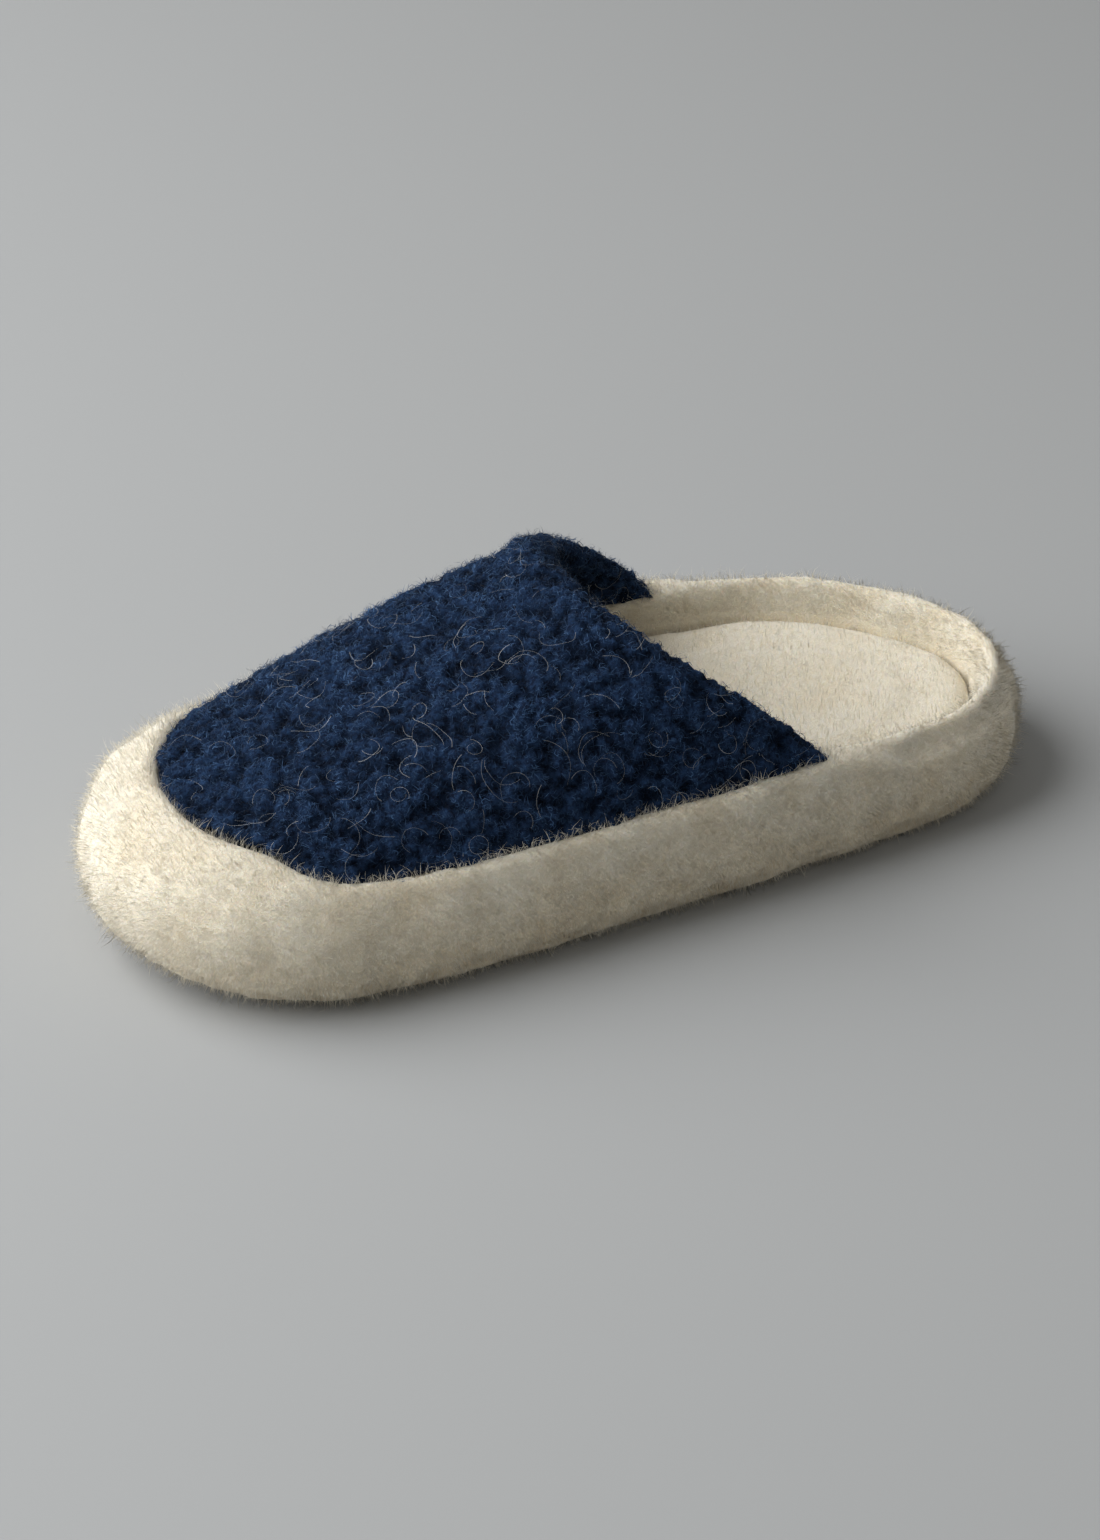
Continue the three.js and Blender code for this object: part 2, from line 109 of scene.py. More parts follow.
class SlipperFleece(PropertyGroup):
    """The cream fleece of the band and the footbed."""

    pale: colour("Pale", "Colour of most of the fleece", (0.925, 0.880, 0.765))
    warm: colour("Warm", "Colour of its faint tan patches", (0.84, 0.745, 0.57))
    depth: colour("Depth", "Share of that colour which the skin under the fibres keeps", (0.91, 0.895, 0.85))
    through: amount("Light through", "Share of the light that passes through a fibre", 0.5)
    fibre_length: length("Fibre length", "Height of the fibres off the skin", 0.0022)
    fibre_width: length("Fibre width", "Width of one lock of fibres", 0.00015)
    fibres_per_cm2: amount("Fibres per square centimetre", "How thick the fleece is", 134.0, 400.0)
    inset: length("Inset", "How far the skin lies under the outline of the solid", 0.0010)
    swell: length("Swell", "Height of the soft lumps in the skin", 0.0009)
    tuft_size: length("Tuft size", "Width of one tuft of the fleece", 0.0055)
    overlap: length("Overlap", "How far the tufts reach over the sheet's edge", 0.0026)
    pad_inset: length("Footbed inset", "How much smaller the footbed starts before it swells", 0.0003)
    pad_cap: length("Footbed cap", "The most that a point of the footbed moves as it swells", 0.0014)
    pad_pressure: amount("Footbed pressure", "Pressure inside the footbed as it swells", 4.0, 50.0)


class SlipperWool(PropertyGroup):
    """The curly navy wool of the upper."""

    deep: colour("Deep", "Colour between the curls", (0.007, 0.012, 0.029))
    navy: colour("Navy", "Colour of most curls", (0.021, 0.049, 0.118))
    bright: colour("Bright", "Colour of the brightest curls", (0.064, 0.138, 0.280))
    kemp: colour("Kemp", "Colour of the pale stray hairs", (0.60, 0.63, 0.67))
    curl_height: length("Curl height", "Height of the curls off the skin", 0.0019)
    curl_width: length("Curl width", "Width of one curled lock", 0.00018)
    curls_per_cm2: amount("Curls per square centimetre", "How close the curls are", 34.0, 400.0)
    fuzz_per_cm2: amount("Fuzz per square centimetre", "How close the fine hairs are", 120.0, 400.0)
    inset: length("Inset", "How far the skin lies under the outline of the solid", 0.0012)
    swell: length("Swell", "Height of the curled clumps in the skin", 0.0016)
    clump_size: length("Clump size", "Width of one curled clump", 0.0038)
    overhang: length("Overhang", "How far the wool hangs over the seam", 0.0014)
    kemp_hairs: IntProperty(name="Kemp hairs", description="Number of pale stray hairs", default=420, min=0)


class SlipperSole(PropertyGroup):
    """The embossed dark sheet underneath."""

    scale_colour: colour("Scale", "Colour of the scales", (0.026, 0.026, 0.027))
    # The lines' lighter colour is a painted highlight, for the light that the raised net catches
    line_highlight_colour: colour("Line", "Colour of the raised lines between the scales", (0.104, 0.104, 0.107))
    relief: length("Relief", "Height of the lines over the scales", 0.00045)
    row: length("Row", "Length of an average row of scales", 0.0050)
    broad: length("Broad scale", "Width of a scale in the middle of the sole", 0.0064)
    narrowing: amount("Narrowing", "How much narrower the scales are at the sole's edge", 0.55, 2.0)


class SlipperStage(PropertyGroup):
    """Floor, lights and camera."""

    floor: colour("Floor", "Colour of the floor", (0.404, 0.418, 0.431))
    key: power("Key light", "Power of the soft light at the toe's side", 45.5)
    fill: power("Fill light", "Power of the soft light near the camera", 1.6)
    ambient: amount("Ambient", "Brightness of the room", 0.235, 5.0)
    lens: FloatProperty(name="Lens", description="Focal length of the camera", default=102.0, unit="CAMERA")


# Materials

# Sizes of the patterns that the materials show
FLEECE_PATCH = 0.034
FLEECE_STRAND = 0.0012
FLEECE_FINE_STRAND = 0.0008
FLEECE_LOW_SIDE = 0.030
WOOL_MARK = 0.0016
WOOL_DENT = 0.0013
WOOL_PATCH = 0.012
SOLE_GRAIN = 0.0007
SOLE_PORE = 0.0006
SOLE_WEAR = 0.03

# Places of a Mix node's factor, two inputs and output among its sockets
MIX_SOCKETS = {"RGBA": (0, 6, 7, 2), "VECTOR": (0, 4, 5, 1)}


class Shader:
    """A small helper that adds nodes to a material and links them."""

    def __init__(self, name):
        self.material = bpy.data.materials.new(name)
        self.material.use_nodes = True
        self.nodes = self.material.node_tree.nodes
        self.links = self.material.node_tree.links
        self.surface = self.nodes["Principled BSDF"]

    def add(self, kind, settings=None, **inputs):
        node = self.nodes.new(kind)
        for key, value in (settings or {}).items():
            setattr(node, key, value)
        self.put_all(node, inputs)
        return node

    def put(self, node, key, value):
        socket = node.inputs[key]
        if isinstance(value, bpy.types.NodeSocket):
            self.links.new(value, socket)
        elif hasattr(value, "__len__") and len(value) == 3 and len(socket.default_value) == 4:
            socket.default_value = (*value, 1.0)
        else:
            socket.default_value = value

    def put_all(self, node, inputs):
        """Sets or links a node's inputs, whose names have underscores in place of spaces."""
        for key, value in inputs.items():
            self.put(node, key.replace("_", " "), value)

    def finish(self, **inputs):
        self.put_all(self.surface, inputs)

    def place(self):
        return self.add("ShaderNodeTexCoord").outputs["Object"]

    def cloud(self, size, detail=2.0, roughness=0.5, seed=0.0):
        """Smooth noise with features of about the given size, in metres."""
        shifted = self.add("ShaderNodeVectorMath", {"operation": "ADD"})
        self.put(shifted, 0, self.place())
        self.put(shifted, 1, (seed, seed * 0.7, seed * 1.3))
        node = self.add(
            "ShaderNodeTexNoise",
            Vector=shifted.outputs[0],
            Scale=1.0 / size,
            Detail=detail,
            Roughness=roughness,
        )
        return node.outputs["Fac"]

    def strands(self, size, seed, tangle=0.9, fineness=9.0):
        """Fine tangled lines, from 0 between them to 1 along each."""
        fibres = self.cloud(size, detail=1.0, seed=seed)
        self.put(fibres.node, "Distortion", tangle)
        from_line = self.maths("ABSOLUTE", self.maths("SUBTRACT", fibres, 0.5))
        between = self.maths("MINIMUM", self.maths("MULTIPLY", from_line, fineness), 1.0)
        return self.maths("SUBTRACT", 1.0, between)

    def ramp(self, factor, stops):
        node = self.add("ShaderNodeValToRGB", Fac=factor)
        band = node.color_ramp
        while len(band.elements) < len(stops):
            band.elements.new(0.5)
        for element, (position, value) in zip(band.elements, stops):
            element.position = position
            element.color = (*value, 1.0) if hasattr(value, "__len__") else (value, value, value, 1.0)
        return node.outputs["Color"]

    def mix(self, factor, first, second, blend="MIX", kind="RGBA"):
        node = self.add("ShaderNodeMix", {"data_type": kind, "blend_type": blend})
        *inputs, output = MIX_SOCKETS[kind]
        for index, value in zip(inputs, (factor, first, second)):
            self.put(node, index, value)
        return node.outputs[output]

    def times(self, first, second):
        """One colour multiplied by another."""
        return self.mix(1.0, first, second, "MULTIPLY")

    def maths(self, operation, first, second=None):
        node = self.add("ShaderNodeMath", {"operation": operation})
        self.put(node, 0, first)
        if second is not None:
            self.put(node, 1, second)
        return node.outputs[0]

    def attribute(self, name, output="Fac"):
        return self.add("ShaderNodeAttribute", {"attribute_name": name}).outputs[output]

    def bump(self, height, strength, distance, over=None):
        node = self.add("ShaderNodeBump", Height=height, Strength=strength, Distance=distance)
        if over:
            self.put(node, "Normal", over)
        return node.outputs["Normal"]

    def let_through(self, share, tone):
        """Lets a share of the light pass through a thin fibre."""
        normal = self.surface.inputs["Normal"].links[0].from_socket
        glow = self.add("ShaderNodeBsdfTranslucent", Color=tone, Normal=normal)
        both = self.add("ShaderNodeMixShader")
        for index, value in enumerate((share, self.surface.outputs[0], glow.outputs[0])):
            self.put(both, index, value)
        self.put(self.nodes["Material Output"], "Surface", both.outputs[0])

    def soft_normal(self, share):
        """Leans a fibre's normal towards that of the skin that it grows from."""
        skin = self.attribute("skin", "Vector")
        own = self.add("ShaderNodeNewGeometry").outputs["Normal"]
        unit = self.add("ShaderNodeVectorMath", {"operation": "NORMALIZE"})
        self.put(unit, 0, self.mix(share, own, skin, kind="VECTOR"))
        return unit.outputs[0]


def fleece_colour(shader, look):
    """Cream with faint tan patches."""
    patches = shader.ramp(shader.cloud(FLEECE_PATCH, detail=1.5), ((0.48, 0.0), (0.80, 0.30)))
    return shader.mix(patches, tuple(look.pale), tuple(look.warm))


def fleece_painted_shade(shader):
    """Painted shade on the skin of the fleece: darker and warmer between the tufts and towards the floor."""
    full = (1.0, 1.0, 1.0)
    # Painted shade between the tufts, where the crown is low
    shade_between_tufts = shader.ramp(shader.attribute("crown"), ((0.0, (0.93, 0.88, 0.80)), (0.6, full)))
    height = shader.add("ShaderNodeSeparateXYZ", Vector=shader.place()).outputs["Z"]
    climb = shader.maths("DIVIDE", height, FLEECE_LOW_SIDE)
    # Painted shade, darker and warmer towards the floor
    low = shader.ramp(climb, ((0.1, (0.90, 0.82, 0.68)), (0.95, full)))
    return shader.times(shade_between_tufts, low)


def fleece_skin_material(look):
    shader = Shader("cream fleece skin")
    # The skin's colour carries painted shade between the tufts and near the floor
    tone = shader.times(fleece_colour(shader, look), fleece_painted_shade(shader))
    coarse = shader.strands(FLEECE_STRAND, seed=0.31)
    fine = shader.strands(FLEECE_FINE_STRAND, seed=0.73)
    strands = shader.maths("MAXIMUM", coarse, fine)
    along = tuple(0.5 + 0.5 * c for c in look.depth)
    light = shader.ramp(strands, ((0.0, tuple(look.depth)), (1.0, along)))
    shader.finish(
        Base_Color=shader.times(tone, light),
        Roughness=1.0,
        Specular_IOR_Level=0.05,
        Sheen_Weight=0.35,
        Sheen_Roughness=0.7,
        Subsurface_Weight=0.5,
        Subsurface_Radius=(1.0, 0.85, 0.6),
        Subsurface_Scale=0.0020,
        Normal=shader.bump(strands, strength=0.35, distance=0.0004, over=shader.attribute("skin", "Vector")),
    )
    return shader.material


def fleece_fibre_material(look):
    shader = Shader("cream fleece fibres")
    light = shader.ramp(shader.attribute("tint"), ((0.0, 1.0), (0.6, 1.07)))
    tone = shader.times(fleece_colour(shader, look), light)
    shader.finish(
        Base_Color=tone,
        Roughness=0.9,
        Specular_IOR_Level=0.05,
        Sheen_Weight=0.35,
        Sheen_Roughness=0.7,
        Normal=shader.soft_normal(0.85),
    )
    shader.let_through(look.through, tone)
    return shader.material


def wool_painted_shade(shader):
    """Painted shade between the curled clumps, and a little painted light on their crowns."""
    return shader.ramp(shader.attribute("crown"), ((0.0, 0.14), (0.35, 0.46), (0.72, 1.2)))


def wool_skin_material(look):
    shader = Shader("navy wool skin")
    curls = shader.ramp(shader.cloud(WOOL_MARK, detail=4.0, roughness=0.7), ((0.36, 0.0), (0.64, 1.0)))
    tone = shader.mix(curls, tuple(look.deep), tuple(look.navy))
    dents = shader.cloud(WOOL_DENT, detail=4.0, roughness=0.75, seed=0.4)
    # The base colour carries painted shade between the clumps and painted light on their crowns
    shader.finish(
        Base_Color=shader.times(tone, wool_painted_shade(shader)),
        Roughness=1.0,
        Specular_IOR_Level=0.05,
        Normal=shader.bump(dents, strength=1.0, distance=0.0016),
    )
    return shader.material


def wool_curl_material(look):
    shader = Shader("navy wool curls")
    middle = tuple(0.55 * a + 0.45 * b for a, b in zip(look.navy, look.bright))
    stops = ((0.0, tuple(look.deep)), (0.25, tuple(look.navy)), (0.70, middle), (1.0, tuple(look.bright)))
    spread = shader.ramp(shader.attribute("tint"), stops)
    patches = shader.ramp(shader.cloud(WOOL_PATCH, seed=0.9), ((0.36, 0.70), (0.66, 1.25)))
    # The curls' colour carries painted shade between the clumps and painted light on their crowns
    shader.finish(
        Base_Color=shader.times(shader.times(spread, patches), wool_painted_shade(shader)),
        Roughness=0.75,
        Specular_IOR_Level=0.12,
        Sheen_Weight=0.08,
        Sheen_Roughness=0.5,
        Normal=shader.soft_normal(0.55),
    )
    return shader.material


def kemp_material(look):
    shader = Shader("pale kemp hairs")
    pale = tuple(look.kemp)
    dull = tuple(0.35 * c for c in pale)
    shader.finish(Base_Color=shader.ramp(shader.attribute("tint"), ((0.0, dull), (1.0, pale))), Roughness=0.6)
    return shader.material


def scale_lines(shader, look):
    """The emboss: rows of rounded scales, broad in the middle of the sole. 1 on a line, 0 on a scale.

    The rows bow towards the sides and swing a little. A swing has a length in metres and a depth in rows.
    """
    half_width = 0.045
    bow = 0.9
    sway_length, sway_depth = 0.017, 0.7
    breath_length, breath_depth = 0.0135, 0.6
    drift_length, drift_depth = 0.023, 0.35
    irregular = 0.55

    maths = shader.maths
    split = shader.add("ShaderNodeSeparateXYZ", Vector=shader.place())
    x, y = split.outputs["X"], split.outputs["Y"]
    across = maths("DIVIDE", y, half_width)
    square = maths("MULTIPLY", across, across)
    sway = maths("MULTIPLY", maths("SINE", maths("DIVIDE", y, sway_length)), sway_depth)
    breath = maths("SINE", maths("ADD", maths("DIVIDE", x, breath_length), sway))
    row = maths("ADD", maths("DIVIDE", x, look.row), maths("MULTIPLY", breath, breath_depth))
    row = maths("ADD", row, maths("MULTIPLY", square, bow))
    narrower = maths("ADD", 1.0, maths("MULTIPLY", square, look.narrowing))
    drift = maths("MULTIPLY", maths("SINE", maths("DIVIDE", x, drift_length)), drift_depth)
    column = maths("ADD", maths("MULTIPLY", maths("DIVIDE", y, look.broad), narrower), drift)
    cell = shader.add("ShaderNodeCombineXYZ", X=row, Y=column).outputs[0]

    def distance(feature):
        settings = {"voronoi_dimensions": "2D", "feature": feature}
        scales = shader.add("ShaderNodeTexVoronoi", settings, Vector=cell, Scale=1.0, Randomness=irregular)
        return scales.outputs["Distance"]

    side = shader.ramp(distance("DISTANCE_TO_EDGE"), ((0.055, 1.0), (0.13, 0.0)))
    corner = shader.ramp(distance("F1"), ((0.50, 0.0), (0.66, 1.0)))
    return maths("MAXIMUM", side, corner)


def sole_material(look):
    shader = Shader("embossed sole sheet")
    line = scale_lines(shader, look)
    grain = shader.ramp(shader.cloud(SOLE_GRAIN, detail=3.0, roughness=0.6), ((0.3, 0.82), (0.7, 1.14)))
    wear = shader.ramp(shader.cloud(SOLE_WEAR, seed=2.0), ((0.3, 0.90), (0.7, 1.12)))
    # The lighter lines are a painted highlight on the raised net
    tone = shader.mix(line, tuple(look.scale_colour), tuple(look.line_highlight_colour))
    pores = shader.maths("MULTIPLY", shader.cloud(SOLE_PORE, detail=3.0, roughness=0.6, seed=0.6), 0.16)
    shader.finish(
        Base_Color=shader.times(shader.times(tone, grain), wear),
        Roughness=shader.ramp(line, ((0.0, 0.60), (1.0, 0.46))),
        Specular_IOR_Level=0.4,
        Normal=shader.bump(shader.maths("ADD", line, pores), strength=1.0, distance=look.relief),
    )
    return shader.material


# Meshes

# Points of a solid closer than this are one
SAME_POINT = 1e-5
# A point of a skin that sees less than this share of the room is hidden, and this share of its faces can go
HIDDEN = 0.01
HIDDEN_SAVING = 0.85
# Where a skin looks from, how far, and how wide its looks spread
LOOK_START = 0.0025
LOOK_REACH = 0.035
LOOK_SPREAD = 0.7
TILTS = ((0.0, 0.0, 0.0), (1.0, 0.0, 0.2), (-1.0, 0.0, 0.2), (0.0, 1.0, 0.2), (0.0, -1.0, 0.2))
# Where the warp of the clumps reads its noise, for each axis
WARP_OFFSETS = (Vector((9.3, 1.7, 4.1)), Vector((2.6, 8.9, 5.3)), Vector((7.2, 3.4, 0.8)))


def new_piece(name, data):
    piece = bpy.data.objects.new(name, data)
    bpy.context.scene.collection.objects.link(piece)
    return piece


def keep(name, mesh, material, node=None):
    """Makes an object of a mesh, gives it its material and puts it on the slipper's body."""
    mesh.materials.clear()
    mesh.materials.append(material)
    piece = new_piece(name, mesh)
    if node:
        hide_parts(node)
    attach(piece, BODY)
    return piece


def evaluated_mesh(piece):
    """The mesh of an object with its modifiers applied, as a plain copy."""
    graph = bpy.context.evaluated_depsgraph_get()
    graph.update()
    return bpy.data.meshes.new_from_object(piece.evaluated_get(graph))


def even_skin(node, name, spacing, smoothing):
    """A copy of a solid with small even faces and its facets smoothed away."""
    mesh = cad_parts[node].data.copy()
    work = bmesh.new()
    work.from_mesh(mesh)
    bmesh.ops.remove_doubles(work, verts=work.verts, dist=SAME_POINT)
    work.to_mesh(mesh)
    work.free()
    piece = new_piece(name, mesh)
    remesh = piece.modifiers.new("even", "REMESH")
    remesh.mode = "VOXEL"
    remesh.voxel_size = spacing
    remesh.use_smooth_shade = True
    smooth = piece.modifiers.new("smooth", "SMOOTH")
    smooth.factor = 0.5
    smooth.iterations = smoothing
    piece.data = evaluated_mesh(piece)
    piece.modifiers.clear()

    # What other pieces cover all round needs few faces
    shown = openness(vertex_table(piece.data), vertex_table(piece.data, "normal"))
    hidden = np.flatnonzero(shown < HIDDEN)
    group = piece.vertex_groups.new(name="hidden")
    group.add(hidden.tolist(), 1.0, "REPLACE")
    fewer = piece.modifiers.new("fewer", "DECIMATE")
    fewer.vertex_group = group.name
    fewer.ratio = 1.0 - HIDDEN_SAVING * len(hidden) / len(piece.data.vertices)
    made = evaluated_mesh(piece)
    bpy.data.objects.remove(piece)
    made.name = name
    return made


def vertex_table(mesh, kind="co"):
    """The places of a mesh's vertices, or the ways that they face, one in a row."""
    values = np.zeros(len(mesh.vertices) * 3)
    if kind == "co":
        mesh.vertices.foreach_get("co", values)
    else:
        mesh.vertex_normals.foreach_get("vector", values)
    return values.reshape(-1, 3)


def set_vertices(mesh, table):
    mesh.vertices.foreach_set("co", np.ascontiguousarray(table, dtype=np.float32).ravel())
    mesh.update()


def soft_noise(table, size, seed):
    """Smooth noise from about -1 to 1 at each point of a table."""
    shift = Vector((seed * 3.1, seed * 1.7, seed * 2.3))
    return np.array([noise.noise(Vector(p) / size + shift) for p in table])


def clumps(table, size, seed, warp_scale=1.7, warp=0.28, radius=0.78):
    """Rounded clumps packed side by side: 1 on a clump's crown, 0 between clumps."""
    shift = Vector((seed * 2.9, seed * 1.3, seed * 3.7))
    crowns = np.zeros(len(table))
    for n, spot in enumerate(table):
        place = Vector(spot) / size + shift
        bend = Vector([noise.noise(place * warp_scale + offset) for offset in WARP_OFFSETS])
        near = noise.voronoi(place + bend * warp)[0][0]
        crowns[n] = 1.0 - min(near / radius, 1.0) ** 2
    return crowns


def write_attribute(mesh, name, values):
    attribute = mesh.attributes.get(name) or mesh.attributes.new(name, "FLOAT", "POINT")
    attribute.data.foreach_set("value", np.ascontiguousarray(values, dtype=np.float32))


def write_directions(mesh, name, table):
    attribute = mesh.attributes.new(name, "FLOAT_VECTOR", "POINT")
    attribute.data.foreach_set("vector", np.ascontiguousarray(table, dtype=np.float32).ravel())


def blurred(mesh, table, times):
    """Values of the vertices, each averaged again and again with its neighbours'."""
    ends = np.zeros(len(mesh.edges) * 2, dtype=np.int64)
    mesh.edges.foreach_get("vertices", ends)
    first, second = ends.reshape(-1, 2).T
    size = len(mesh.vertices)
    neighbours = np.maximum(np.bincount(first, minlength=size) + np.bincount(second, minlength=size), 1)
    columns = [np.array(c) for c in np.atleast_2d(table.T)]
    for _ in range(times):
        for n, column in enumerate(columns):
            total = np.bincount(first, column[second], size) + np.bincount(second, column[first], size)
            columns[n] = 0.5 * column + 0.5 * total / neighbours
    return np.array(columns).T if table.ndim > 1 else columns[0]


def write_soft_normals(mesh, times):
    """Stores the way that the surface faces, without its small bumps."""
    soft = blurred(mesh, vertex_table(mesh, "normal"), times)
    write_directions(mesh, "skin", soft / np.maximum(np.linalg.norm(soft, axis=1), 1e-9)[:, None])


def smoothstep(start, end, x):
    """0 at the start and 1 at the end, with a smooth climb between."""
    t = np.clip((x - start) / (end - start), 0.0, 1.0)
    return t * t * (3.0 - 2.0 * t)


def solid_tree(*names):
    """The faces of the named solids, to look for the nearest point or along a ray."""
    points, faces = [], []
    for name in names:
        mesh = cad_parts[name].data
        first = len(points)
        points += [v.co.copy() for v in mesh.vertices]
        faces += [[first + n for n in p.vertices] for p in mesh.polygons]
    return BVHTree.FromPolygons(points, faces)


def openness(place, out):
    """From 0 to 1, how much of the room a point of a skin sees past the solids."""
    tree = solid_tree(*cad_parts)
    tilts = [LOOK_SPREAD * Vector(tilt) for tilt in TILTS]
    shown = np.zeros(len(place))
    for n in range(len(place)):
        normal = Vector(out[n])
        start = Vector(place[n]) + normal * LOOK_START
        for tilt in tilts:
            way = (normal + tilt).normalized()
            shown[n] += tree.ray_cast(start, way, LOOK_REACH)[0] is None
    return shown / len(tilts)


def near_solid(node, place, reach):
    """How near each point is to a solid, from 0 at the reach to 1 at its surface, and the way towards it."""
    tree = solid_tree(node)
    gaps = np.full(len(place), reach)
    ways = np.zeros_like(place)
    for n, spot in enumerate(place):
        found = tree.find_nearest(Vector(spot), reach)
        if found[0] is not None:
            gaps[n] = found[3]
            ways[n] = (found[0] - Vector(spot)).normalized()
    return smoothstep(reach, 0.0, gaps), ways


# Fibres that grow on a skin, by Geometry Nodes

# Places of a Random Value node's lowest value and result among its sockets
RANDOM_SOCKETS = {"FLOAT_VECTOR": (0, 0), "FLOAT": (2, 1), "INT": (4, 2)}

FIBRE_INPUTS = (
    ("Density", "NodeSocketFloat", 600000.0),
    ("Length", "NodeSocketFloat", 0.003),
    ("Width", "NodeSocketFloat", 0.0002),
    ("Comb", "NodeSocketFloat", 1.4),
    ("Comb Size", "NodeSocketFloat", 0.008),
    ("Stray", "NodeSocketFloat", 1.0),
    ("Seed", "NodeSocketInt", 1),
    ("Material", "NodeSocketMaterial", None),
)

# Strength of a whole comb, the shares of the length that fibres have, and how a fibre narrows to its point
COMB_STRENGTH = 4.0
SHORTEST, LONGEST = 0.65, 1.3
TAPER = 0.6
# No fibre comes closer to the floor than this
FLOOR_GAP = 0.0002


class Growth:
    """Builds a Geometry Nodes tree with named inputs."""

    def __init__(self, name, inputs):
        self.group = bpy.data.node_groups.new(name, "GeometryNodeTree")
        self.group.is_modifier = True
        face = self.group.interface
        face.new_socket("Geometry", in_out="OUTPUT", socket_type="NodeSocketGeometry")
        face.new_socket("Geometry", in_out="INPUT", socket_type="NodeSocketGeometry")
        for label, kind, default in inputs:
            socket = face.new_socket(label, in_out="INPUT", socket_type=kind)
            if default is not None:
                socket.default_value = default
        self.start = self.group.nodes.new("NodeGroupInput")
        self.end = self.group.nodes.new("NodeGroupOutput")

    def input(self, label):
        return self.start.outputs[label]

    def add(self, kind, settings=None, links=None):
        node = self.group.nodes.new(kind)
        for key, value in (settings or {}).items():
            setattr(node, key, value)
        for key, value in (links or {}).items():
            socket = node.inputs[key]
            if isinstance(value, bpy.types.NodeSocket):
                self.group.links.new(value, socket)
            else:
                socket.default_value = value
        return node

    def maths(self, operation, first, second):
        return self.add("ShaderNodeMath", {"operation": operation}, {0: first, 1: second}).outputs[0]

    def vector(self, operation, first, second):
        return self.add("ShaderNodeVectorMath", {"operation": operation}, {0: first, 1: second}).outputs[0]

    def scaled(self, vector, scale):
        links = {0: vector, "Scale": scale}
        return self.add("ShaderNodeVectorMath", {"operation": "SCALE"}, links).outputs[0]

    def attribute(self, name, kind):
        return self.add("GeometryNodeInputNamedAttribute", {"data_type": kind}, {"Name": name}).outputs[0]

    def random(self, kind, low, high, seed):
        first, result = RANDOM_SOCKETS[kind]
        links = {first: low, first + 1: high, "Seed": seed}
        return self.add("FunctionNodeRandomValue", {"data_type": kind}, links).outputs[result]


def fibre_rotation(tree, way, normal, facing):
    """Stands a fibre along its way. It is turned by chance, or so that its flat side faces off the skin."""
    if facing:
        axes = {"primary_axis": "Z", "secondary_axis": "Y"}
        across = tree.vector("CROSS_PRODUCT", normal, way)
        return tree.add("FunctionNodeAxesToRotation", axes, {0: way, 1: across}).outputs[0]
    along = tree.add("FunctionNodeAlignRotationToVector", {"axis": "Z"}, {"Vector": way}).outputs[0]
    spin = tree.random("FLOAT", 0.0, 2 * math.pi, seed=7)
    turn = tree.add("FunctionNodeAxisAngleToRotation", None, {"Axis": (0.0, 0.0, 1.0), "Angle": spin})
    links = {"Rotation": along, "Rotate By": turn.outputs[0]}
    return tree.add("FunctionNodeRotateRotation", {"rotation_space": "LOCAL"}, links).outputs[0]


def fibre_variants(tree, shapes):
    """One flat ribbon that narrows to a point for each shape, to pick from."""
    ends = []
    for share in (-0.5, 0.5):
        across = tree.maths("MULTIPLY", tree.input("Width"), share)
        ends.append(tree.add("ShaderNodeCombineXYZ", None, {"X": across}).outputs[0])
    flat = tree.add("GeometryNodeCurvePrimitiveLine", {"mode": "POINTS"}, {"Start": ends[0], "End": ends[1]})
    variants = tree.add("GeometryNodeJoinGeometry")
    along = tree.add("GeometryNodeSplineParameter").outputs["Factor"]
    taper = tree.maths("POWER", tree.maths("SUBTRACT", 1.0, along), TAPER)
    for shape in shapes:
        links = {"Curve": shape(tree), "Profile Curve": flat.outputs[0], "Scale": taper}
        ribbon = tree.add("GeometryNodeCurveToMesh", None, links)
        links = {"Geometry": ribbon.outputs[0], "Distance": 1e-6}
        pointed = tree.add("GeometryNodeMergeByDistance", None, links)
        single = tree.add("GeometryNodeGeometryToInstance", None, {"Geometry": pointed.outputs[0]})
        tree.group.links.new(single.outputs[0], variants.inputs[0])
    return variants.outputs[0]


